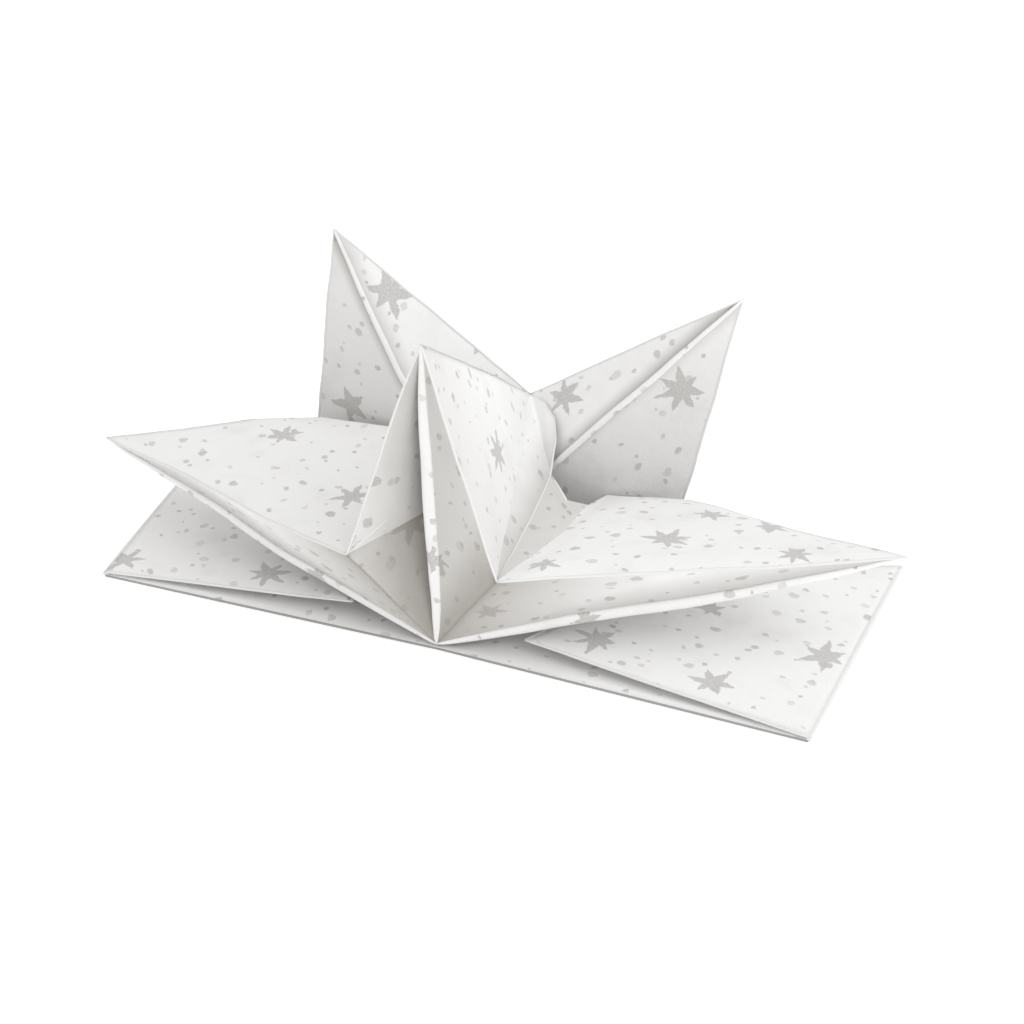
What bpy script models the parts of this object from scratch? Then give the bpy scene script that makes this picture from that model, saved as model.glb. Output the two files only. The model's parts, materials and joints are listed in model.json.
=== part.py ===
"""A folded paper napkin opened into a half-round star: hollow paper spikes fanned about one spine.

The star lies on two flat base panels. The fold between them, the spine, runs front to back (+Y),
and every spike is a little tent of flat panels between folds. Lengths are metres, +Z is up.
"""

import math

import bmesh
import bpy
from mathutils import Vector

MM = 0.001
LEFT, RIGHT = "left", "right"

# The layered sheet and its folds
SHEET = 0.9 * MM
FOLD_GAP = 0.3 * MM
FOLD_RADIUS = 0.8 * MM
FOLD_SIDES = 8
FOLD_START_CUT = 13.0 * MM
FOLD_TIP_CUT = 7.0 * MM
MOUTH_CREASE_INSET = 1.6 * MM
FLAP_CLEARANCE = 2.0 * MM
SHARPEST_FOLD = math.radians(14)

# Each corner is (reach from the spine, depth behind the front, height above the table)
SPINE_START = Vector((-0.8, 1.8, 0.0)) * MM
FRONT = Vector((-0.8, 1.8, 2.2)) * MM
SPINE_END = Vector((-0.5, 80.0, 0.0)) * MM
MIDDLE_TIP = Vector((0.0, -6.4, 91.1)) * MM
MOUTH_CREASE = Vector((-4.6, 5.0, 39.5)) * MM
NOTCH = Vector((0.0, 70.3, 43.8)) * MM
GATHER = Vector((-8.8, 50.0, 7.3)) * MM
BACK_GATHER = Vector((0.0, 81.0, 5.5)) * MM

BASE_TIP = {LEFT: Vector((-100.9, 3.7, 0.0)) * MM, RIGHT: Vector((100.0, -4.7, 0.0)) * MM}
BASE_BACK = {LEFT: Vector((-109.9, 85.7, 0.0)) * MM, RIGHT: Vector((104.5, 84.8, 0.0)) * MM}
LEAF_INNER = {LEFT: Vector((-32.3, 7.0, 6.1)) * MM, RIGHT: Vector((22.0, 7.0, 5.1)) * MM}
LEAF_BACK = {LEFT: Vector((-54.0, 60.0, 4.5)) * MM, RIGHT: Vector((50.0, 60.0, 4.0)) * MM}
UNDER_FOLD = {LEFT: Vector((-36.0, 24.0, 9.5)) * MM, RIGHT: Vector((31.0, 24.0, 9.0)) * MM}
SIDE_TIP = {LEFT: Vector((-114.6, 33.0, 26.2)) * MM, RIGHT: Vector((113.5, 33.0, 34.8)) * MM}
VALLEY = {LEFT: Vector((-20.4, -10.0, 31.2)) * MM, RIGHT: Vector((20.7, -10.0, 32.0)) * MM}
ROOF_OUTER = {LEFT: Vector((-61.0, 61.0, 29.6)) * MM, RIGHT: Vector((49.7, 60.7, 24.3)) * MM}
ROOF_INNER = {LEFT: Vector((-36.6, 56.5, 32.5)) * MM, RIGHT: Vector((27.1, 60.0, 22.2)) * MM}
WEB_FOOT = {LEFT: Vector((-24.6, 46.0, 32.0)) * MM, RIGHT: Vector((24.6, 50.0, 23.4)) * MM}
FLAP_FOOT = {LEFT: Vector((-13.6, 50.0, 32.0)) * MM, RIGHT: Vector((13.6, 50.0, 30.6)) * MM}
BACK_TIP = {LEFT: Vector((-57.0, 68.0, 85.5)) * MM, RIGHT: Vector((59.9, 68.0, 81.8)) * MM}
BACK_FOOT = {LEFT: Vector((-66.0, 68.0, 15.5)) * MM, RIGHT: Vector((44.9, 68.0, 15.5)) * MM}

PAPER = {
    "paper_top": (0.92, 0.92, 0.93),
    "paper_side": (0.86, 0.85, 0.84),
    "paper_fold": (0.95, 0.95, 0.94),
}
PAPER_ROUGHNESS = 0.9


def clear_scene():
    for obj in list(bpy.data.objects):
        bpy.data.objects.remove(obj, do_unlink=True)


def paper(name):
    """The paper's material by name, made the first time that it is asked for."""
    if name in bpy.data.materials:
        return bpy.data.materials[name]
    material = bpy.data.materials.new(name)
    material.use_nodes = True
    shader = material.node_tree.nodes["Principled BSDF"]
    shader.inputs["Base Color"].default_value = (*PAPER[name], 1.0)
    shader.inputs["Roughness"].default_value = PAPER_ROUGHNESS
    shader.inputs["Metallic"].default_value = 0.0
    return material


def corner_points():
    """Every corner where folds meet, by name."""
    points = {
        "front": FRONT,
        "middle_tip": MIDDLE_TIP,
        "mouth_crease": MOUTH_CREASE,
        "notch": NOTCH,
        "gather": GATHER,
        "back_gather": BACK_GATHER,
    }
    rise = Vector((0, 0, SHEET / 2))
    points["base_front"] = SPINE_START + rise
    points["spine_end"] = SPINE_END + rise
    leaf_rise = rise + Vector((0, 0, SHEET + FOLD_GAP))
    for side in (LEFT, RIGHT):
        points[f"base_tip_{side}"] = BASE_TIP[side] + rise
        points[f"base_back_{side}"] = BASE_BACK[side] + rise
        points[f"leaf_tip_{side}"] = BASE_TIP[side] + leaf_rise
        points[f"leaf_outer_{side}"] = BASE_BACK[side] + leaf_rise
        points[f"leaf_inner_{side}"] = LEAF_INNER[side]
        points[f"leaf_back_{side}"] = LEAF_BACK[side]
        points[f"under_fold_{side}"] = UNDER_FOLD[side]
        points[f"side_tip_{side}"] = SIDE_TIP[side]
        points[f"valley_{side}"] = VALLEY[side]
        points[f"roof_outer_{side}"] = ROOF_OUTER[side]
        points[f"roof_inner_{side}"] = ROOF_INNER[side]
        points[f"web_foot_{side}"] = WEB_FOOT[side]
        points[f"flap_foot_{side}"] = FLAP_FOOT[side]
        points[f"back_tip_{side}"] = BACK_TIP[side]
        points[f"back_foot_{side}"] = BACK_FOOT[side]
    return points


def panel_corners():
    """The corners of each flat panel, in order round it."""
    panels = {
        "middle_spike_mouth_right": ("front", "valley_right", "middle_tip"),
        "middle_spike_mouth_left_upper": ("middle_tip", "valley_left", "mouth_crease"),
        "middle_spike_mouth_left_lower": ("front", "mouth_crease", "valley_left"),
    }
    for side in (LEFT, RIGHT):
        for name, corners in side_panels().items():
            panels[name.replace("SIDE", side)] = tuple(c.replace("SIDE", side) for c in corners)
    return panels


def side_panels():
    """The panels that each side has, with SIDE standing for the side's name."""
    return {
        "base_panel_SIDE": ("base_front", "base_tip_SIDE", "base_back_SIDE", "spine_end"),
        "outer_leaf_SIDE": ("leaf_inner_SIDE", "leaf_tip_SIDE", "leaf_outer_SIDE", "leaf_back_SIDE"),
        "side_spike_roof_SIDE": (
            "valley_SIDE", "side_tip_SIDE", "roof_outer_SIDE", "roof_inner_SIDE", "web_foot_SIDE",
        ),
        "side_spike_underside_SIDE": ("under_fold_SIDE", "side_tip_SIDE", "roof_outer_SIDE"),
        "side_spike_mouth_upper_SIDE": ("front", "valley_SIDE", "side_tip_SIDE"),
        "side_spike_mouth_lower_SIDE": ("front", "under_fold_SIDE", "side_tip_SIDE"),
        "valley_web_SIDE": ("valley_SIDE", "flap_foot_SIDE", "web_foot_SIDE"),
        "middle_spike_roof_SIDE": ("middle_tip", "valley_SIDE", "notch"),
        "middle_spike_flap_SIDE": ("valley_SIDE", "flap_foot_SIDE", "notch"),
        "back_spike_inner_face_SIDE": ("back_tip_SIDE", "gather", "notch"),
        "back_spike_outer_face_SIDE": ("back_tip_SIDE", "gather", "back_foot_SIDE"),
        "back_spike_inner_back_SIDE": ("back_tip_SIDE", "notch", "back_gather"),
        "back_spike_outer_back_SIDE": ("back_tip_SIDE", "back_foot_SIDE", "back_gather"),
    }


def centre_folds():
    """The narrow double folds down the middle of the mouths, each from its gather to its tip."""
    folds = {"middle_spike_centre_fold": ("front", "middle_tip")}
    for side in (LEFT, RIGHT):
        folds[f"side_spike_centre_fold_{side}"] = ("front", f"side_tip_{side}")
        folds[f"back_spike_centre_fold_{side}"] = ("gather", f"back_tip_{side}")
    return folds


def edges_of(corners):
    return [(corners[i - 1], corners[i]) for i in range(len(corners))]


def inward(points, corners, edge):
    """The direction in a panel's plane that leads from one of its edges into the panel."""
    along = (points[edge[1]] - points[edge[0]]).normalized()
    centre = sum((points[c] for c in corners), Vector()) / len(corners)
    offset = centre - points[edge[0]]
    return (offset - along * offset.dot(along)).normalized()


def fold_inset(angle):
    """How far two sheets that meet at that angle stop short of their fold line."""
    half = max(angle, SHARPEST_FOLD) / 2
    return (FOLD_GAP / 2 + SHEET / 2 * math.cos(half)) / math.sin(half)


def edge_inset(points, panels, name, edge):
    """How far a panel stops short of one of its edges: nothing at a free edge."""
    line = frozenset(edge)
    own = inward(points, panels[name], edge)
    insets = [0.0]
    for other, corners in panels.items():
        if other == name or line not in [frozenset(e) for e in edges_of(corners)]:
            continue
        insets.append(fold_inset(own.angle(inward(points, corners, edge))))
    if line in [frozenset(ends) for ends in centre_folds().values()]:
        insets.append(FOLD_RADIUS + FOLD_GAP)
    if "mouth_crease" in line and line & {"front", "middle_tip"}:
        insets.append(MOUTH_CREASE_INSET)
    if "middle_spike_flap" in name and "notch" in line:
        insets.append(FLAP_CLEARANCE)
    return max(insets)


def inset_outline(outline, insets, normal):
    """The outline with each edge moved inwards by its own inset. Edge i runs from point i - 1 to i."""
    moved = []
    for i, start in enumerate(outline):
        before = (start - outline[i - 1]).normalized()
        after = (outline[(i + 1) % len(outline)] - start).normalized()
        before_in = normal.cross(before)
        after_in = normal.cross(after)
        inset_before = insets[i]
        inset_after = insets[(i + 1) % len(outline)]
        cosine = before_in.dot(after_in)
        share = 1 - cosine * cosine
        toward_before = (inset_before - cosine * inset_after) / share
        toward_after = (inset_after - cosine * inset_before) / share
        moved.append(start + before_in * toward_before + after_in * toward_after)
    return moved


def add_mesh(name, mesh, material):
    bmesh.ops.recalc_face_normals(mesh, faces=mesh.faces)
    data = bpy.data.meshes.new(name)
    mesh.to_mesh(data)
    mesh.free()
    data.materials.append(paper(material))
    obj = bpy.data.objects.new(name, data)
    bpy.context.scene.collection.objects.link(obj)
    return obj


def flat_panel(name, points, panels):
    """One flat panel of the sheet, stopped short of its folds and extruded to the sheet's thickness."""
    corners = panels[name]
    first, second, third = (points[c] for c in corners[:3])
    normal = (second - first).cross(third - first).normalized()
    outline = [points[c] - normal * normal.dot(points[c] - first) for c in corners]
    insets = [edge_inset(points, panels, name, edge) for edge in edges_of(corners)]
    outline = inset_outline(outline, insets, normal)
    mesh = bmesh.new()
    lower = [mesh.verts.new(point - normal * SHEET / 2) for point in outline]
    face = mesh.faces.new(lower)
    made = bmesh.ops.extrude_face_region(mesh, geom=[face])["geom"]
    upper = [part for part in made if isinstance(part, bmesh.types.BMVert)]
    bmesh.ops.translate(mesh, verts=upper, vec=normal * SHEET)
    material = "paper_side" if "mouth" in name or "back" in name else "paper_top"
    return add_mesh(name, mesh, material)


def centre_fold(name, start, end):
    """A rounded double fold: a thin rod of rolled sheet that stops short of both ends of its line."""
    along = (end - start).normalized()
    start = start + along * FOLD_START_CUT
    end = end - along * FOLD_TIP_CUT
    length = (end - start).length
    mesh = bmesh.new()
    bmesh.ops.create_cone(
        mesh, cap_ends=True, segments=FOLD_SIDES, radius1=FOLD_RADIUS, radius2=FOLD_RADIUS, depth=length
    )
    turn = along.to_track_quat("Z", "Y").to_matrix()
    bmesh.ops.rotate(mesh, verts=mesh.verts, matrix=turn)
    bmesh.ops.translate(mesh, verts=mesh.verts, vec=(start + end) / 2)
    return add_mesh(name, mesh, "paper_fold")


def centre_on_table(objects):
    """Moves the whole star so that its box stands centred on the origin, with its lowest face at zero."""
    corners = [vertex.co for obj in objects for vertex in obj.data.vertices]
    low = [min(corner[axis] for corner in corners) for axis in range(3)]
    high = [max(corner[axis] for corner in corners) for axis in range(3)]
    shift = Vector(((low[0] + high[0]) / -2, (low[1] + high[1]) / -2, -low[2]))
    for obj in objects:
        for vertex in obj.data.vertices:
            vertex.co += shift
    return shift


def set_origin(obj, pivot):
    """Puts an object's origin on the line that it turns about, without moving its mesh."""
    for vertex in obj.data.vertices:
        vertex.co -= pivot
    obj.location = pivot


def build_star():
    clear_scene()
    points = corner_points()
    panels = panel_corners()
    objects = [flat_panel(name, points, panels) for name in panels]
    for name, (start, end) in centre_folds().items():
        objects.append(centre_fold(name, points[start], points[end]))
    shift = centre_on_table(objects)
    for obj in objects:
        if obj.name.startswith("outer_leaf"):
            set_origin(obj, points["leaf_tip_" + obj.name.rsplit("_", 1)[1]] + shift)
        elif not obj.name.startswith("base_panel"):
            set_origin(obj, points["front"] + shift)


build_star()
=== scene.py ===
import json
import math
import random

import bmesh
import bpy
from mathutils import Matrix, Vector, noise


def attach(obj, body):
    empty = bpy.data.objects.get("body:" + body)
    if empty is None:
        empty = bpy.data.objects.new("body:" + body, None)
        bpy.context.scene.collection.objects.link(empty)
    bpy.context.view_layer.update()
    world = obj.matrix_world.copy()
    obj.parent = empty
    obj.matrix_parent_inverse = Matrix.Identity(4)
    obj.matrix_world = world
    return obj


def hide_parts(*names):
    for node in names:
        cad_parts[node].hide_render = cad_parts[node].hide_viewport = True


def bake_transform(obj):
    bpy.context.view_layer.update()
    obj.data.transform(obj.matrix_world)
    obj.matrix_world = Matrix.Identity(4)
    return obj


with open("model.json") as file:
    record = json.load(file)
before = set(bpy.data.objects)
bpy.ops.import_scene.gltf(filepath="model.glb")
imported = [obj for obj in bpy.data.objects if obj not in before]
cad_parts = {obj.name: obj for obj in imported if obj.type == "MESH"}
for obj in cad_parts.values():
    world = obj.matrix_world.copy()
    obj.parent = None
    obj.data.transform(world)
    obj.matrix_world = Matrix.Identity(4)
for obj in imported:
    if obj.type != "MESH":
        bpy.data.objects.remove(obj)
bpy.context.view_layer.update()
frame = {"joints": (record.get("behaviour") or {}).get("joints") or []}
MM = 0.001

# The table and the light round it. The star lies on a plain white table in soft studio light: a bright,
# even surround, and one broad lamp above on the right.
bpy.ops.mesh.primitive_plane_add(size=6.0, location=(0, 0, 0))
table = bpy.context.object
table.name = "table"
table_white = bpy.data.materials.new("table_white")
table_white.use_nodes = True
table_shader = table_white.node_tree.nodes["Principled BSDF"]
table_shader.inputs["Base Color"].default_value = (0.93, 0.93, 0.93, 1)
table_shader.inputs["Roughness"].default_value = 0.9
table_shader.inputs["Specular IOR Level"].default_value = 0.1
table_shader.inputs["Emission Color"].default_value = (1, 1, 1, 1)
table_shader.inputs["Emission Strength"].default_value = 0.4
table.data.materials.append(table_white)

surround = bpy.data.worlds.new("surround")
bpy.context.scene.world = surround
surround.use_nodes = True
surround.node_tree.nodes["Background"].inputs["Color"].default_value = (1.0, 0.995, 0.987, 1)
surround.node_tree.nodes["Background"].inputs["Strength"].default_value = 0.80
bpy.context.scene.view_settings.view_transform = "Standard"


def area_lamp(name, direction, distance, size, power, colour):
    """A square lamp that hangs in that direction from the star and faces it."""
    lamp = bpy.data.lights.new(name, "AREA")
    lamp.size = size
    lamp.energy = power
    lamp.color = colour
    holder = bpy.data.objects.new(name, lamp)
    bpy.context.scene.collection.objects.link(holder)
    holder.location = Vector(direction).normalized() * distance
    holder.rotation_mode = "QUATERNION"
    holder.rotation_quaternion = Vector(direction).to_track_quat("Z", "Y")


area_lamp("key_lamp", (0.6, -0.2, 0.8), 1.2, 1.0, 5.6, (0.96, 0.98, 1.0))

# The camera stands a little to the right of the front and looks down on the star. It is aimed from the
# front end of the spine, where the first joint turns.
spine_front = Vector(frame["joints"][0]["pos_m"])
azimuth, elevation, distance = math.radians(20.70), math.radians(29.12), 0.5689
camera_data = bpy.data.cameras.new("camera")
camera_data.sensor_width = 36
camera_data.lens = 73.2
camera = bpy.data.objects.new("camera", camera_data)
bpy.context.scene.collection.objects.link(camera)
look_at = spine_front + Vector((4.84, 42.82, 17.8)) * MM
level = math.cos(elevation)
back = Vector((math.sin(azimuth) * level, -math.cos(azimuth) * level, math.sin(elevation)))
camera.location = look_at + back * distance
camera.rotation_mode = "QUATERNION"
camera.rotation_quaternion = back.to_track_quat("Z", "Y")
bpy.context.scene.camera = camera


# The base: the two panels that lie on the table, one layered sheet with the spine fold between them.
# Like the whole star, it is soft white tissue printed with silver-grey stars and dots.
def place(x, y, z):
    """A corner given in millimetres from the front end of the spine, with its height above the table."""
    return Vector((spine_front.x + x * MM, spine_front.y + y * MM, z * MM))


spine_start = place(0, 0, 0.5)
spine_end = place(0.3, 78.2, 0.5)
base_tip = {"left": place(-100.1, 1.9, 0.5), "right": place(100.8, -6.5, 0.5)}
base_back = {"left": place(-109.1, 83.9, 0.5), "right": place(105.3, 83.0, 0.5)}


def math_node(nodes, links, operation, values, clamp=False):
    """A maths node whose inputs are numbers or the outputs of other nodes."""
    node = nodes.new("ShaderNodeMath")
    node.operation = operation
    node.use_clamp = clamp
    for socket, value in zip(node.inputs, values):
        if isinstance(value, (int, float)):
            socket.default_value = value
        else:
            links.new(value, socket)
    return node.outputs[0]


def ink_star_group():
    """A node group that draws one hand-cut star: uneven pointed arms round a small body."""
    group = bpy.data.node_groups.new("ink_star", "ShaderNodeTree")
    for name, kind in (
        ("Place", "NodeSocketVector"), ("Centre", "NodeSocketVector"), ("Size", "NodeSocketFloat"),
        ("Turn", "NodeSocketFloat"), ("Arms", "NodeSocketFloat"),
    ):
        group.interface.new_socket(name, in_out="INPUT", socket_type=kind)
    group.interface.new_socket("Ink", in_out="OUTPUT", socket_type="NodeSocketFloat")
    nodes, links = group.nodes, group.links
    given = nodes.new("NodeGroupInput")
    result = nodes.new("NodeGroupOutput")

    def sums(operation, *values, clamp=False):
        return math_node(nodes, links, operation, values, clamp)

    offset = nodes.new("ShaderNodeVectorMath")
    offset.operation = "SUBTRACT"
    links.new(given.outputs["Place"], offset.inputs[0])
    links.new(given.outputs["Centre"], offset.inputs[1])
    split = nodes.new("ShaderNodeSeparateXYZ")
    links.new(offset.outputs[0], split.inputs[0])
    length = nodes.new("ShaderNodeVectorMath")
    length.operation = "LENGTH"
    links.new(offset.outputs[0], length.inputs[0])
    radius = sums("DIVIDE", length.outputs["Value"], given.outputs["Size"])
    angle = sums("ARCTAN2", split.outputs["Y"], split.outputs["X"])
    turned = sums("ADD", sums("DIVIDE", sums("ADD", angle, given.outputs["Turn"]), 2 * math.pi), 2.0)
    arm_place = sums("MULTIPLY", turned, given.outputs["Arms"])
    across = sums("FRACT", arm_place)
    taper = sums("SUBTRACT", 1.0, sums("ABSOLUTE", sums("MULTIPLY_ADD", across, 2.0, -1.0)))
    arm = sums("MODULO", sums("FLOOR", arm_place), given.outputs["Arms"])
    mixed = nodes.new("ShaderNodeCombineXYZ")
    links.new(arm, mixed.inputs[0])
    links.new(given.outputs["Turn"], mixed.inputs[1])
    chance = nodes.new("ShaderNodeTexWhiteNoise")
    chance.noise_dimensions = "2D"
    links.new(mixed.outputs[0], chance.inputs["Vector"])
    reach = sums("MULTIPLY_ADD", chance.outputs["Value"], 0.34, 0.72)
    body = 0.41  # the star's body, as a share of its longest possible arm
    edge = sums("MULTIPLY_ADD", sums("SUBTRACT", reach, body), sums("POWER", taper, 1.75), body)
    ink = sums("DIVIDE", sums("SUBTRACT", edge, radius), 0.08, clamp=True)
    links.new(ink, result.inputs["Ink"])
    return group


ink_star = ink_star_group()
PAPER_WHITE = (0.86, 0.856, 0.852)
FAINT_BLOTCH = (0.77, 0.76, 0.75)
SILVER_INK = (0.53, 0.52, 0.51)
DOT_INK = (0.52, 0.51, 0.50)
# Painted shade: the warm grey that the paper is mixed towards deep in its folds.
PAINTED_FOLD_SHADE = (0.25, 0.225, 0.19)
RAGGED = 2.2 * MM


def plain_paper(name, colour=PAPER_WHITE):
    """Soft white tissue: matt, with a fine crepe grain and slow cockles pressed into it."""
    material = bpy.data.materials.new(name)
    material.use_nodes = True
    nodes, links = material.node_tree.nodes, material.node_tree.links
    shader = nodes["Principled BSDF"]
    shader.inputs["Base Color"].default_value = (*colour, 1)
    shader.inputs["Roughness"].default_value = 0.85
    shader.inputs["Specular IOR Level"].default_value = 0.15
    shader.inputs["Sheen Weight"].default_value = 0.1
    shader.inputs["Sheen Roughness"].default_value = 0.6
    body = nodes.new("ShaderNodeTexCoord")
    heights = []
    for scale, detail in ((1500.0, 3.0), (150.0, 3.0)):
        grain = nodes.new("ShaderNodeTexNoise")
        grain.inputs["Scale"].default_value = scale
        grain.inputs["Detail"].default_value = detail
        links.new(body.outputs["Object"], grain.inputs["Vector"])
        heights.append(grain.outputs["Fac"])
    relief = math_node(nodes, links, "MULTIPLY_ADD", (heights[1], 7.0, heights[0]))
    bump = nodes.new("ShaderNodeBump")
    bump.inputs["Strength"].default_value = 0.7
    bump.inputs["Distance"].default_value = 0.00008
    links.new(relief, bump.inputs["Height"])
    links.new(bump.outputs[0], shader.inputs["Normal"])
    return material


# Fold beads use a darker copy of the paper white: painted shade on the rounded fold edges.
shaded_fold_paper = plain_paper("shaded_fold_paper", (0.76, 0.755, 0.745))
# Painted shadow: a dark grey for the thin line of shade along the base's front edge on the table.
painted_edge_shadow = plain_paper("painted_edge_shadow", (0.34, 0.33, 0.32))


def printed_paper(name, stars, seed):
    """The tissue printed with the given stars, and with dots and pebbles strewn between them. Painted shade
    darkens it where the sheet's painted fold-shade attribute says that it lies deep in a fold."""
    material = plain_paper(name)
    nodes, links = material.node_tree.nodes, material.node_tree.links

    def sums(operation, *values, clamp=False):
        return math_node(nodes, links, operation, values, clamp)

    def wander(scale, detail):
        node = nodes.new("ShaderNodeTexNoise")
        node.inputs["Scale"].default_value = scale
        node.inputs["Detail"].default_value = detail
        links.new(flat.outputs["UV"], node.inputs["Vector"])
        return node

    flat = nodes.new("ShaderNodeTexCoord")
    rough_edge = wander(380.0, 3.0)
    nudge = nodes.new("ShaderNodeVectorMath")
    nudge.operation = "MULTIPLY_ADD"
    links.new(rough_edge.outputs["Color"], nudge.inputs[0])
    nudge.inputs[1].default_value = (RAGGED, RAGGED, 0)
    links.new(flat.outputs["UV"], nudge.inputs[2])
    ragged = nudge.outputs[0]

    star_ink = 0.0
    for centre, size, turn, arms in stars:
        stamp = nodes.new("ShaderNodeGroup")
        stamp.node_tree = ink_star
        links.new(ragged, stamp.inputs["Place"])
        stamp.inputs["Centre"].default_value = (centre[0] + RAGGED / 2, centre[1] + RAGGED / 2, 0)
        stamp.inputs["Size"].default_value = size
        stamp.inputs["Turn"].default_value = turn
        stamp.inputs["Arms"].default_value = arms
        star_ink = sums("MAXIMUM", star_ink, stamp.outputs["Ink"])

    dot_ink = 0.0
    for scale, largest, share in ((92.0, 0.17, 0.68), (150.0, 0.17, 0.48)):
        shifted = nodes.new("ShaderNodeVectorMath")
        shifted.operation = "ADD"
        links.new(ragged, shifted.inputs[0])
        shifted.inputs[1].default_value = (seed * 0.37 + scale * 0.01, seed * 0.21, 0)
        squashed = nodes.new("ShaderNodeVectorMath")
        squashed.operation = "MULTIPLY"
        links.new(shifted.outputs[0], squashed.inputs[0])
        squashed.inputs[1].default_value = (1.0, 1.25, 1.0)
        spread = nodes.new("ShaderNodeTexVoronoi")
        spread.voronoi_dimensions = "2D"
        spread.inputs["Scale"].default_value = scale
        spread.inputs["Randomness"].default_value = 0.9
        links.new(squashed.outputs[0], spread.inputs["Vector"])
        chance = nodes.new("ShaderNodeSeparateColor")
        links.new(spread.outputs["Color"], chance.inputs[0])
        drawn = sums("LESS_THAN", chance.outputs[0], share)
        size = sums("MULTIPLY_ADD", chance.outputs[1], largest * 0.5, largest * 0.5)
        ink = sums("DIVIDE", sums("SUBTRACT", size, spread.outputs["Distance"]), 0.04, clamp=True)
        strength = sums("MULTIPLY_ADD", chance.outputs[2], 0.55, 0.45)
        dot_ink = sums("MAXIMUM", dot_ink, sums("MULTIPLY", sums("MULTIPLY", ink, drawn), strength))

    speckle = wander(1700.0, 2.0)
    speckled = sums("MULTIPLY_ADD", speckle.outputs["Fac"], 1.1, 0.32, clamp=True)
    blotch = wander(70.0, 3.0)
    faint = sums("MULTIPLY", sums("SUBTRACT", blotch.outputs["Fac"], 0.53, clamp=True), 3.0, clamp=True)

    def over(amount, colour, below):
        mix = nodes.new("ShaderNodeMix")
        mix.data_type = "RGBA"
        links.new(amount, mix.inputs["Factor"])
        if isinstance(below, tuple):
            mix.inputs[6].default_value = (*below, 1)
        else:
            links.new(below, mix.inputs[6])
        mix.inputs[7].default_value = (*colour, 1)
        return mix.outputs[2]

    colour = over(faint, FAINT_BLOTCH, PAPER_WHITE)
    colour = over(sums("MULTIPLY", dot_ink, speckled), DOT_INK, colour)
    colour = over(sums("MULTIPLY", star_ink, speckled), SILVER_INK, colour)
    # Painted shade: the paper is mixed towards the fold-shade grey by the sheet's painted shade attribute.
    painted_shade = nodes.new("ShaderNodeAttribute")
    painted_shade.attribute_name = "painted_fold_shade"
    colour = over(painted_shade.outputs["Fac"], PAINTED_FOLD_SHADE, colour)
    links.new(colour, nodes["Principled BSDF"].inputs["Base Color"])
    return material


PLY_THICKNESS = 0.4 * MM
FLAT_START = Vector((0.05, 0.1))
FLAT_STEP = Vector((0.3, 0))
CUTS = 30
SHARP_CREASE = math.radians(24)
chance_stars = random.Random(7)
noise.seed_set(7)


def cockled(point):
    """Where a point of the flat design lies on the real sheet, which cockles once it leaves the table."""
    lies_flat, fully_free = 0.8 * MM, 14 * MM
    broad_depth, fine_depth = 1.1, 0.3
    lifted = min(max((point.z - lies_flat) / fully_free, 0.0), 1.0)
    broad = noise.noise_vector(point * 24.0)
    fine = noise.noise_vector(point * 90.0 + Vector((3, 5, 7)))
    return point + (broad * broad_depth + fine * fine_depth) * MM * lifted


def panel_basis(corners):
    """The flat panel's own directions: along its first edge, across it, and out of its face."""
    along = (corners[1] - corners[0]).normalized()
    out = Vector((0, 0, 0))
    for i in range(1, len(corners) - 1):
        out += (corners[i] - corners[0]).cross(corners[i + 1] - corners[0])
    out.normalize()
    along = (along - out * along.dot(out)).normalized()
    return along, out.cross(along), out


def edge_lines(corners, along, across):
    """Each edge of a flat panel as a point on it and the direction that leads inwards."""
    flat = [Vector(((c - corners[0]).dot(along), (c - corners[0]).dot(across))) for c in corners]
    lines = []
    for i, corner in enumerate(flat):
        direction = (corner - flat[i - 1]).normalized()
        lines.append((flat[i - 1], Vector((-direction.y, direction.x))))
    return lines


def swell(mesh, numbered, panels, belly, rim=0.25):
    """Bows the middle of each listed panel out of its plane, by millimetres, and leaves its edges alone."""
    for number, depth in belly.items():
        corners = panels[number]
        along, across, out = panel_basis(corners)
        lines = edge_lines(corners, along, across)
        lengths = [(corners[i] - corners[i - 1]).length for i in range(len(corners))]
        reach = min(sorted(lengths)[-2:]) * rim
        moved = set()
        for face in mesh.faces:
            if face[numbered] == number + 1:
                moved.update(face.verts)
        for vertex in moved:
            offset = vertex.co - corners[0]
            spot = Vector((offset.dot(along), offset.dot(across)))
            inside = max(min((spot - start).dot(side) for start, side in lines), 0.0)
            share = min(inside / reach, 1.0)
            vertex.co += out * depth * MM * (1 - (1 - share) ** 2)


def roll_over(mesh, creases, width=6 * MM, passes=14):
    """Softens the sheet along creases that are rolled over instead of pressed sharp."""
    for start, end in creases:
        line = (end - start).normalized()
        near = []
        for vertex in mesh.verts:
            offset = vertex.co - start
            if (offset - line * offset.dot(line)).length < width and not vertex.is_boundary:
                near.append(vertex)
        for _ in range(passes):
            bmesh.ops.smooth_vert(
                mesh, verts=near, factor=0.5, use_axis_x=True, use_axis_y=True, use_axis_z=True
            )


def paint_fold_shade(mesh, numbered, shade):
    """Writes painted shade into the sheet: how dark each part is painted for lying deep in a fold, for its
    print to read.
    """
    painted_shade = mesh.loops.layers.float.new("painted_fold_shade")
    for number, start, end, depth, reach in shade:
        line = (end - start).normalized()
        for face in mesh.faces:
            if face[numbered] != number + 1:
                continue
            for loop in face.loops:
                offset = loop.vert.co - start
                away = (offset - line * offset.dot(line)).length / (reach * MM)
                loop[painted_shade] = max(loop[painted_shade], depth * max(1 - away, 0) ** 1.3)


def finished_piece(name, mesh, material, thickness=None):
    """Makes the mesh an object in that material, and a sheet of that thickness where one is given."""
    data = bpy.data.meshes.new(name)
    mesh.to_mesh(data)
    mesh.free()
    data.materials.append(material)
    data.shade_smooth()
    piece = bpy.data.objects.new(name, data)
    bpy.context.scene.collection.objects.link(piece)
    if thickness:
        wall = piece.modifiers.new("plies", "SOLIDIFY")
        wall.thickness = thickness
        wall.offset = 0.0
    return piece


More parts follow.
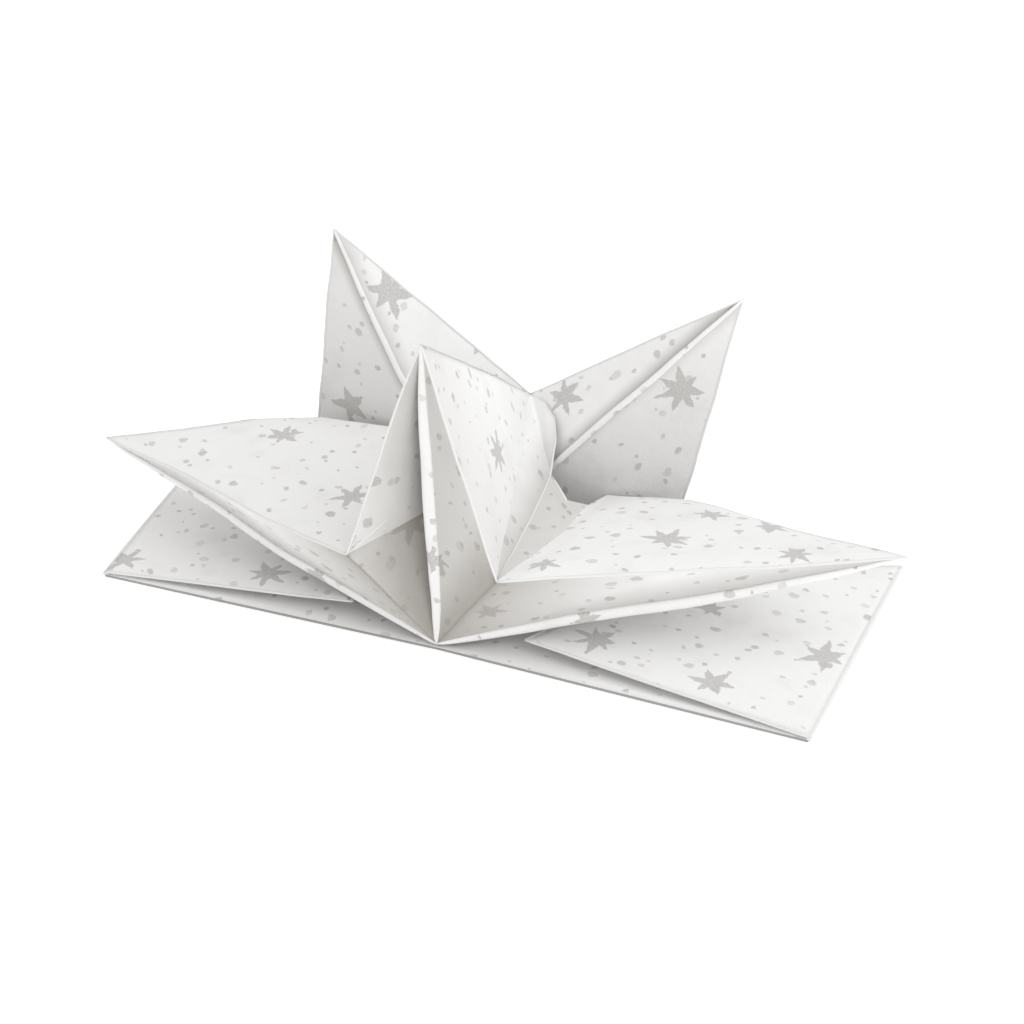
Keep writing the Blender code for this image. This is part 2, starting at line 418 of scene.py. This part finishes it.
def folded_sheet(
    name, panels, stars=(), extra_stars=0, belly=None, smooth=(), shade=(), seed=1, thickness=PLY_THICKNESS
):
    """One continuous sheet of flat panels between creases. Panels are lists of corners seen from outside,
    anticlockwise. Each star is a panel, a centre, a radius in millimetres, a turn and its arms. Creases
    listed in smooth are rolled over. Each shade is painted shade: a panel, the two ends of its deep crease,
    how dark the paper is painted there, and how many millimetres away that fades out."""
    mesh = bmesh.new()
    flat_map = mesh.loops.layers.uv.new("flat")
    made = {}
    stamps = []
    for number, corners in enumerate(panels):
        along, across, out = panel_basis(corners)
        shift = FLAT_START + FLAT_STEP * number

        def laid_flat(point):
            offset = point - corners[0]
            return Vector((offset.dot(along), offset.dot(across))) + shift

        for corner in corners:
            if tuple(corner) not in made:
                made[tuple(corner)] = mesh.verts.new(corner)
        face = mesh.faces.new([made[tuple(corner)] for corner in corners])
        for loop in face.loops:
            loop[flat_map].uv = laid_flat(loop.vert.co)
        given = [star for star in stars if star[0] == number]
        for _, centre, size, turn, arms in given:
            stamps.append((laid_flat(centre), size * MM, math.radians(turn), arms))
        for _ in range(0 if given else extra_stars):
            shares = [chance_stars.random() ** 0.7 for _ in corners]
            centre = sum((c * s for c, s in zip(corners, shares)), Vector()) / sum(shares)
            size = chance_stars.uniform(5, 7) * MM
            turn = chance_stars.uniform(0, 6)
            stamps.append((laid_flat(centre), size, turn, chance_stars.choice((5, 6, 7))))
    numbered = mesh.faces.layers.int.new("panel")
    for number, face in enumerate(mesh.faces):
        face[numbered] = number + 1
    many_sided = [face for face in mesh.faces if len(face.verts) > 4]
    bmesh.ops.triangulate(mesh, faces=many_sided, quad_method="BEAUTY", ngon_method="BEAUTY")
    bmesh.ops.subdivide_edges(mesh, edges=mesh.edges, cuts=CUTS, use_grid_fill=True)
    swell(mesh, numbered, panels, belly or {})
    roll_over(mesh, smooth)
    # Painted shade: darker paper written in deep in the folds.
    paint_fold_shade(mesh, numbered, shade)
    for vertex in mesh.verts:
        vertex.co = cockled(vertex.co)
    sheet = finished_piece(name, mesh, printed_paper(name + "_print", stamps, seed), thickness)
    sheet.data.set_sharp_from_angle(angle=SHARP_CREASE)
    return sheet


def fold_lines(name, lines, material=shaded_fold_paper, steps=40, sides=8):
    """Rounded folded edges. Each line is (points, radius in mm, how much it thins towards its ends)."""
    mesh = bmesh.new()
    least = 0.02 * MM
    for points, radius, thinning in lines:
        lengths = [0.0]
        for i in range(1, len(points)):
            lengths.append(lengths[-1] + (points[i] - points[i - 1]).length)
        rings = []
        first = (points[1] - points[0]).orthogonal().normalized()
        for step in range(steps + 1):
            run = lengths[-1] * step / steps
            part = max(i for i in range(len(points) - 1) if lengths[i] <= run + 1e-9)
            share = (run - lengths[part]) / (lengths[part + 1] - lengths[part])
            along = (points[part + 1] - points[part]).normalized()
            first = (first - along * first.dot(along)).normalized()
            end_share = math.sin(math.pi * step / steps) ** 0.5
            size = radius * MM * (1 - thinning + thinning * end_share) + least
            turn = Matrix((first, along.cross(first), along)).transposed().to_4x4()
            turn.translation = cockled(points[part].lerp(points[part + 1], share))
            ring = bmesh.ops.create_circle(mesh, segments=sides, radius=size, matrix=turn)["verts"]
            rings.append(list(dict.fromkeys(edge for vertex in ring for edge in vertex.link_edges)))
        for low_ring, high_ring in zip(rings, rings[1:]):
            bmesh.ops.bridge_loops(mesh, edges=[*low_ring, *high_ring])
    bmesh.ops.holes_fill(mesh, edges=mesh.edges, sides=sides)
    bmesh.ops.recalc_face_normals(mesh, faces=mesh.faces)
    return finished_piece(name, mesh, material)


base_sheet = folded_sheet(
    "base_sheet",
    [
        [spine_start, base_tip["right"], base_back["right"], spine_end],
        [spine_start, spine_end, base_back["left"], base_tip["left"]],
    ],
    extra_stars=6,
    seed=3,
    thickness=0.8 * MM,
)
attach(base_sheet, "base")
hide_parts("base_panel_left", "base_panel_right")

# The outer leaves: the sheet folded back over each base panel. They rise a little towards the spine and
# end in a fold under the side spikes. Tissue, joined to the base along its outer edge.
leaf_tip = {"left": place(-100.1, 1.9, 1.7), "right": place(100.8, -6.5, 1.7)}
leaf_outer = {"left": place(-109.1, 83.9, 1.7), "right": place(105.3, 83.0, 1.7)}
leaf_inner = {"left": place(-27.0, 6.6, 5.3), "right": place(22.8, 5.2, 5.1)}
leaf_back = {"left": place(-53.2, 58.2, 4.5), "right": place(50.8, 58.2, 4.0)}
leaf_stars = {
    "right": [
        (0, place(39.8, 12.9, 4.4), 7.4, 10, 7), (0, place(62.5, 40, 3.4), 5.6, 60, 6),
        (0, place(72.7, 6.3, 2.9), 7.0, 20, 6), (0, place(96.3, 29.7, 1.9), 8.0, 45, 6),
    ],
    "left": [(0, place(-55.6, 13.4, 4.6), 7.2, 15, 7), (0, place(-98.1, 9.3, 1.8), 6.6, 70, 6)],
}
between_plies = Vector((0, 0, 0.6)) * MM
for side in ("left", "right"):
    corners = [leaf_inner[side], leaf_tip[side], leaf_outer[side], leaf_back[side]]
    if side == "left":
        corners = [leaf_inner[side], leaf_back[side], leaf_outer[side], leaf_tip[side]]
    leaf = folded_sheet("outer_leaf_sheet_" + side, [corners], stars=leaf_stars[side], seed=5 + len(side))
    leaf_folds = fold_lines(
        "outer_leaf_folds_" + side,
        [([leaf_tip[side], leaf_inner[side]], 0.42, 0.3), ([leaf_inner[side], leaf_back[side]], 0.42, 0.3)],
    )
    for piece in (leaf, leaf_folds):
        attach(piece, "outer_leaf_" + side)
        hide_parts("outer_leaf_" + side)
    outer_fold = fold_lines(
        "base_outer_fold_" + side,
        [([base_tip[side] + between_plies, base_back[side] + between_plies], 0.95, 0.2)],
    )
    # Painted shadow: a dark grey bead stands for the line of shade along the base's front edge.
    front_edge_shadow = fold_lines(
        "base_front_edge_" + side, [([spine_start, base_tip[side]], 0.34, 0.2)], material=painted_edge_shadow
    )
    for piece in (outer_fold, front_edge_shadow):
        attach(piece, "base")

# The middle spike: two roof panels that meet in a ridge, and a mouth folded inwards below them. Each half
# is one sheet, rolled over at the back.
front = place(0, 0, 2.2)
middle_tip = place(0.8, -8.2, 91.1)
mouth_crease = place(-3.8, 3.2, 39.5)
notch = place(0.8, 68.5, 43.8)
valley = {"left": place(-19.6, -11.8, 31.2), "right": place(21.5, -11.8, 32.0)}
flap_edge = {
    "left": [place(-12.8, 48.2, 32.0), place(-10.0, 58.0, 40.0), place(-5.0, 64.5, 43.6)],
    "right": [
        place(14.4, 48.2, 30.6), place(13.4, 55.4, 37.6), place(11.2, 60.2, 41.6), place(6.8, 64.6, 44.0),
    ],
}
mouth_plies = {"left": [place(-10.6, -5.6, 40.2), place(-12.8, -7.3, 44.0)], "right": []}


def blend_beside(piece):
    """Bakes the sheet's placement into its mesh, where it stays."""
    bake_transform(piece)


def middle_half(side, panels, **details):
    """One half of the middle spike, with its fold beads; its valley corner is the side spike's valley."""
    half = folded_sheet("middle_spike_sheet_" + side, panels, **details)
    folds = fold_lines(
        "middle_spike_folds_" + side,
        [
            ([valley[side], middle_tip], 0.32, 0.3),
            ([middle_tip, notch], 0.26, 0.4),
            *[([valley[side], ply_end], 0.24, 0.9) for ply_end in mouth_plies[side]],
            ([notch, *reversed(flap_edge[side]), valley[side]], 0.3, 0.5),
        ],
    )
    for piece in (half, folds):
        blend_beside(piece)
        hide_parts("middle_spike_roof_" + side, "middle_spike_flap_" + side)
    return half


middle_right = middle_half(
    "right",
    [
        [middle_tip, valley["right"], notch],
        [front, valley["right"], middle_tip],
        [valley["right"], *flap_edge["right"], notch],
    ],
    stars=[(0, place(9.1, 17.9, 50.5), 7.0, 90, 7), (1, place(1.9, -3.2, 29.5), 4.0, 30, 6)],
    belly={0: 1.2, 1: -1.5},
    smooth=[(valley["right"], notch), (flap_edge["right"][0], notch)],
    # Painted shade: darkens the roof beside its valley edge, the mouth towards its creases and the flap
    # along its foot.
    shade=[
        (0, valley["right"], middle_tip, 0.26, 45), (1, front, valley["right"], 0.8, 34),
        (1, front, middle_tip, 0.5, 70), (2, valley["right"], flap_edge["right"][0], 0.5, 12),
    ],
    seed=11,
)
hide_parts("middle_spike_mouth_right")
middle_left = middle_half(
    "left",
    [
        [middle_tip, notch, valley["left"]],
        [middle_tip, valley["left"], mouth_crease],
        [front, mouth_crease, valley["left"]],
        [valley["left"], notch, *reversed(flap_edge["left"])],
    ],
    stars=[(2, place(-6.8, 0.2, 37), 7.0, 100, 6)],
    belly={0: 1.2, 1: 0.6, 2: -0.8},
    smooth=[(valley["left"], notch)],
    # Painted shade: darkens the upper and lower mouth panels towards the mouth crease.
    shade=[
        (1, mouth_crease, middle_tip, 0.55, 45), (2, mouth_crease, front, 0.8, 60),
        (2, mouth_crease, valley["left"], 0.6, 12),
    ],
    seed=13,
)
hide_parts("middle_spike_mouth_left_upper", "middle_spike_mouth_left_lower")


BAND_THICKNESS = 0.5 * MM


def fold_band(name, start, end, across, forward, half_width, lift, star=None, seed=31, shift=0.0):
    """A flattened double fold: a narrow tapering strip of two plies that stands a little proud. Its star
    is a share of its length and a radius in millimetres."""
    steps, ribs = 60, 6
    line = (end - start).normalized()
    across = (across - line * across.dot(line)).normalized()
    forward = (forward - line * forward.dot(line) - across * forward.dot(across)).normalized()
    length = (end - start).length
    mesh = bmesh.new()
    flat_map = mesh.loops.layers.uv.new("flat")
    bmesh.ops.create_grid(mesh, x_segments=ribs, y_segments=steps, size=1.0)
    spots = {}
    for vertex in mesh.verts:
        side = vertex.co.x
        share = round((vertex.co.y + 1) / 2 * steps) / steps
        bow = math.sin(math.pi * share)
        wide = (math.sin(math.pi * share ** 0.8) ** 0.7 * half_width + 0.25) * MM
        rise = lift * (1 - 0.55 * side * side) * bow ** 0.5 * MM
        spots[vertex] = FLAT_START + Vector((share * length, side * wide))
        sidestep = across * (side * wide + shift * MM * bow)
        vertex.co = cockled(start.lerp(end, share) + sidestep + forward * rise)
    for face in mesh.faces:
        for loop in face.loops:
            loop[flat_map].uv = spots[loop.vert]
    bmesh.ops.recalc_face_normals(mesh, faces=mesh.faces)
    stamps = []
    if star:
        stamps.append((FLAT_START + Vector((star[0] * length, 0)), star[1] * MM, 0.4, 6))
    return finished_piece(name, mesh, printed_paper(name + "_print", stamps, seed), BAND_THICKNESS)


sideways = Vector((1, 0, 0))
to_front = Vector((0, -1, 0))
middle_band = fold_band(
    "middle_spike_centre_band", front, middle_tip, sideways, to_front, 1.5, 0.9, star=(0.31, 5.0), shift=0.6
)
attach(middle_band, "base")
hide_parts("middle_spike_centre_fold")

# The side spikes: each lies low over its leaf. The roof faces up, the mouth opens to the front, and the
# underside closes the spike below. Each is one sheet with a double fold down the middle of its mouth.
side_tip = {"left": place(-113.8, 31.2, 26.2), "right": place(114.3, 31.2, 34.8)}
under_fold = {"left": place(-35.2, 22.2, 9.5), "right": place(31.8, 22.2, 9.0)}
roof_back = {
    "left": [
        place(-96.2, 41.5, 27.3), place(-79.6, 53.0, 28.4),
        place(-60.2, 59.1, 29.6), place(-35.8, 54.7, 32.5),
    ],
    "right": [
        place(92.8, 41.0, 31.2), place(67.8, 51.0, 27.2),
        place(50.5, 58.9, 24.3), place(27.9, 58.2, 22.2),
    ],
}
web_edge = {
    "left": [place(-23.8, 44.2, 32.0), place(-20.0, 46.5, 32.0)],
    "right": [place(25.4, 48.2, 23.4), place(25.4, 23.8, 27.1)],
}
web_rise = {
    "left": [place(-12.8, 48.2, 32.0)],
    "right": [place(14.4, 48.2, 30.6), place(20.5, 43.2, 26.6), place(22.5, 36.2, 24.6)],
}
roof_stars = {
    "right": [
        (0, place(54.2, 25.4, 29.7), 7.8, 20, 7), (0, place(59.8, 46.4, 27.1), 5.6, 50, 6),
        (0, place(76.9, 43, 29.3), 6.2, 0, 5), (0, place(87.5, 24.7, 33.1), 5.6, 35, 7),
        (0, place(29.7, 0.3, 31), 5.0, 10, 6), (1, place(16.3, -3.3, 17.2), 5.5, 0, 6),
    ],
    "left": [(0, place(-64.7, 43.5, 29.2), 6.4, 15, 6), (0, place(-30.3, 15.7, 30.9), 6.4, 80, 6)],
}
for side in ("left", "right"):
    roof = [valley[side], side_tip[side], *roof_back[side]]
    if side == "right":
        roof += web_edge[side]
        web = [valley[side], web_edge[side][1], web_edge[side][0], *reversed(web_rise[side][:2])]
    else:
        roof += web_edge[side][:1]
        web = [valley[side], web_edge[side][0], web_rise[side][0]]
    panels = [
        roof,
        [front, side_tip[side], valley[side]],
        [front, under_fold[side], side_tip[side]],
        [under_fold[side], roof_back[side][2], side_tip[side]],
        web,
    ]
    if side == "left":
        panels = [list(reversed(panel)) for panel in panels]
    spike = folded_sheet(
        "side_spike_sheet_" + side, panels, stars=roof_stars[side],
        belly={0: 1.0, 1: -0.6}, seed=17 + len(side),
        # Painted shade: darkens the mouth towards its crease from the front to the valley and along the
        # centre fold, and the web towards the valley.
        shade=[
            (1, front, valley[side], 0.75, 45), (1, front, side_tip[side], 0.55, 18),
            (4, valley[side], web_rise[side][0], 0.42, 70),
        ],
    )
    folds = fold_lines(
        "side_spike_folds_" + side,
        [
            ([valley[side], side_tip[side]], 0.42, 0.3),
            ([side_tip[side], *roof_back[side]], 0.3, 0.4),
            ([*web_rise[side], web_edge[side][1]], 0.5, 0.8),
        ],
    )
    band_across = Vector((0, -0.25, 1))
    lower_band = fold_band(
        "side_spike_centre_band_" + side, front, side_tip[side], band_across, Vector((0, -1, -0.4)),
        1.5, 1.5, star=(0.33, 4.5), seed=41 + len(side), shift=-0.1,
    )
    upper_band = fold_band(
        "side_spike_inner_ply_" + side, front, side_tip[side], band_across, Vector((0, -1, 0)),
        1.5, 0.5, seed=51 + len(side), shift=1.9,
    )
    for piece in (spike, folds, lower_band, upper_band):
        blend_beside(piece)
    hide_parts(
        "side_spike_roof_" + side, "side_spike_underside_" + side, "side_spike_mouth_upper_" + side,
        "side_spike_mouth_lower_" + side, "valley_web_" + side,
    )
    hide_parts("side_spike_centre_fold_" + side)

# The back spikes: two tall tents that stand behind the gaps between the front ones. Their inner faces
# meet in a fold that drops from the notch. Each is one sheet with a folded slot down its middle.
gather = place(-8.0, 48.2, 7.3)
back_gather = place(0.8, 79.2, 5.5)
back_tip = {"left": place(-56.2, 66.2, 85.5), "right": place(60.7, 66.2, 81.8)}
back_foot = {"left": place(-65.2, 66.2, 15.5), "right": place(45.7, 66.2, 15.5)}
back_stars = {
    "right": [(0, place(12.6, 65, 46.7), 6.6, 40, 6), (1, place(45.4, 63, 54.7), 8.0, 20, 7)],
    "left": [(0, place(-39.7, 65.2, 69.9), 8.2, 10, 6), (1, place(-51.6, 62.7, 33.6), 7.6, 50, 5)],
}
for side in ("left", "right"):
    panels = [
        [back_tip[side], gather, notch],
        [back_tip[side], back_foot[side], gather],
        [back_tip[side], notch, back_gather],
        [back_tip[side], back_gather, back_foot[side]],
    ]
    if side == "left":
        panels = [list(reversed(panel)) for panel in panels]
    spike = folded_sheet(
        "back_spike_sheet_" + side, panels, stars=back_stars[side], extra_stars=3, seed=23 + len(side),
        # Painted shade: a narrow dark channel along the slot from tip to gather, and darker paper towards
        # the foot.
        shade=[
            (0, back_tip[side], gather, 0.8 if side == "right" else 0.4, 5),
            (1, back_tip[side], gather, 0.35 if side == "right" else 0.8, 6),
            (1, back_foot[side], gather, 0.28, 120),
        ],
    )
    folds = fold_lines(
        "back_spike_folds_" + side,
        [([back_tip[side], notch], 0.36, 0.4), ([back_tip[side], back_foot[side]], 0.36, 0.3)],
    )
    upward = Vector((-1, 0, 1)) if side == "right" else Vector((-1, 0, 0))
    band = fold_band(
        "back_spike_centre_band_" + side, gather, back_tip[side], upward, to_front,
        0.55, 0.5, seed=61 + len(side), shift=0.3,
    )
    for piece in (spike, folds, band):
        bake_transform(piece)
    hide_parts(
        "back_spike_inner_face_" + side, "back_spike_outer_face_" + side,
        "back_spike_inner_back_" + side, "back_spike_outer_back_" + side,
    )
    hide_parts("back_spike_centre_fold_" + side)
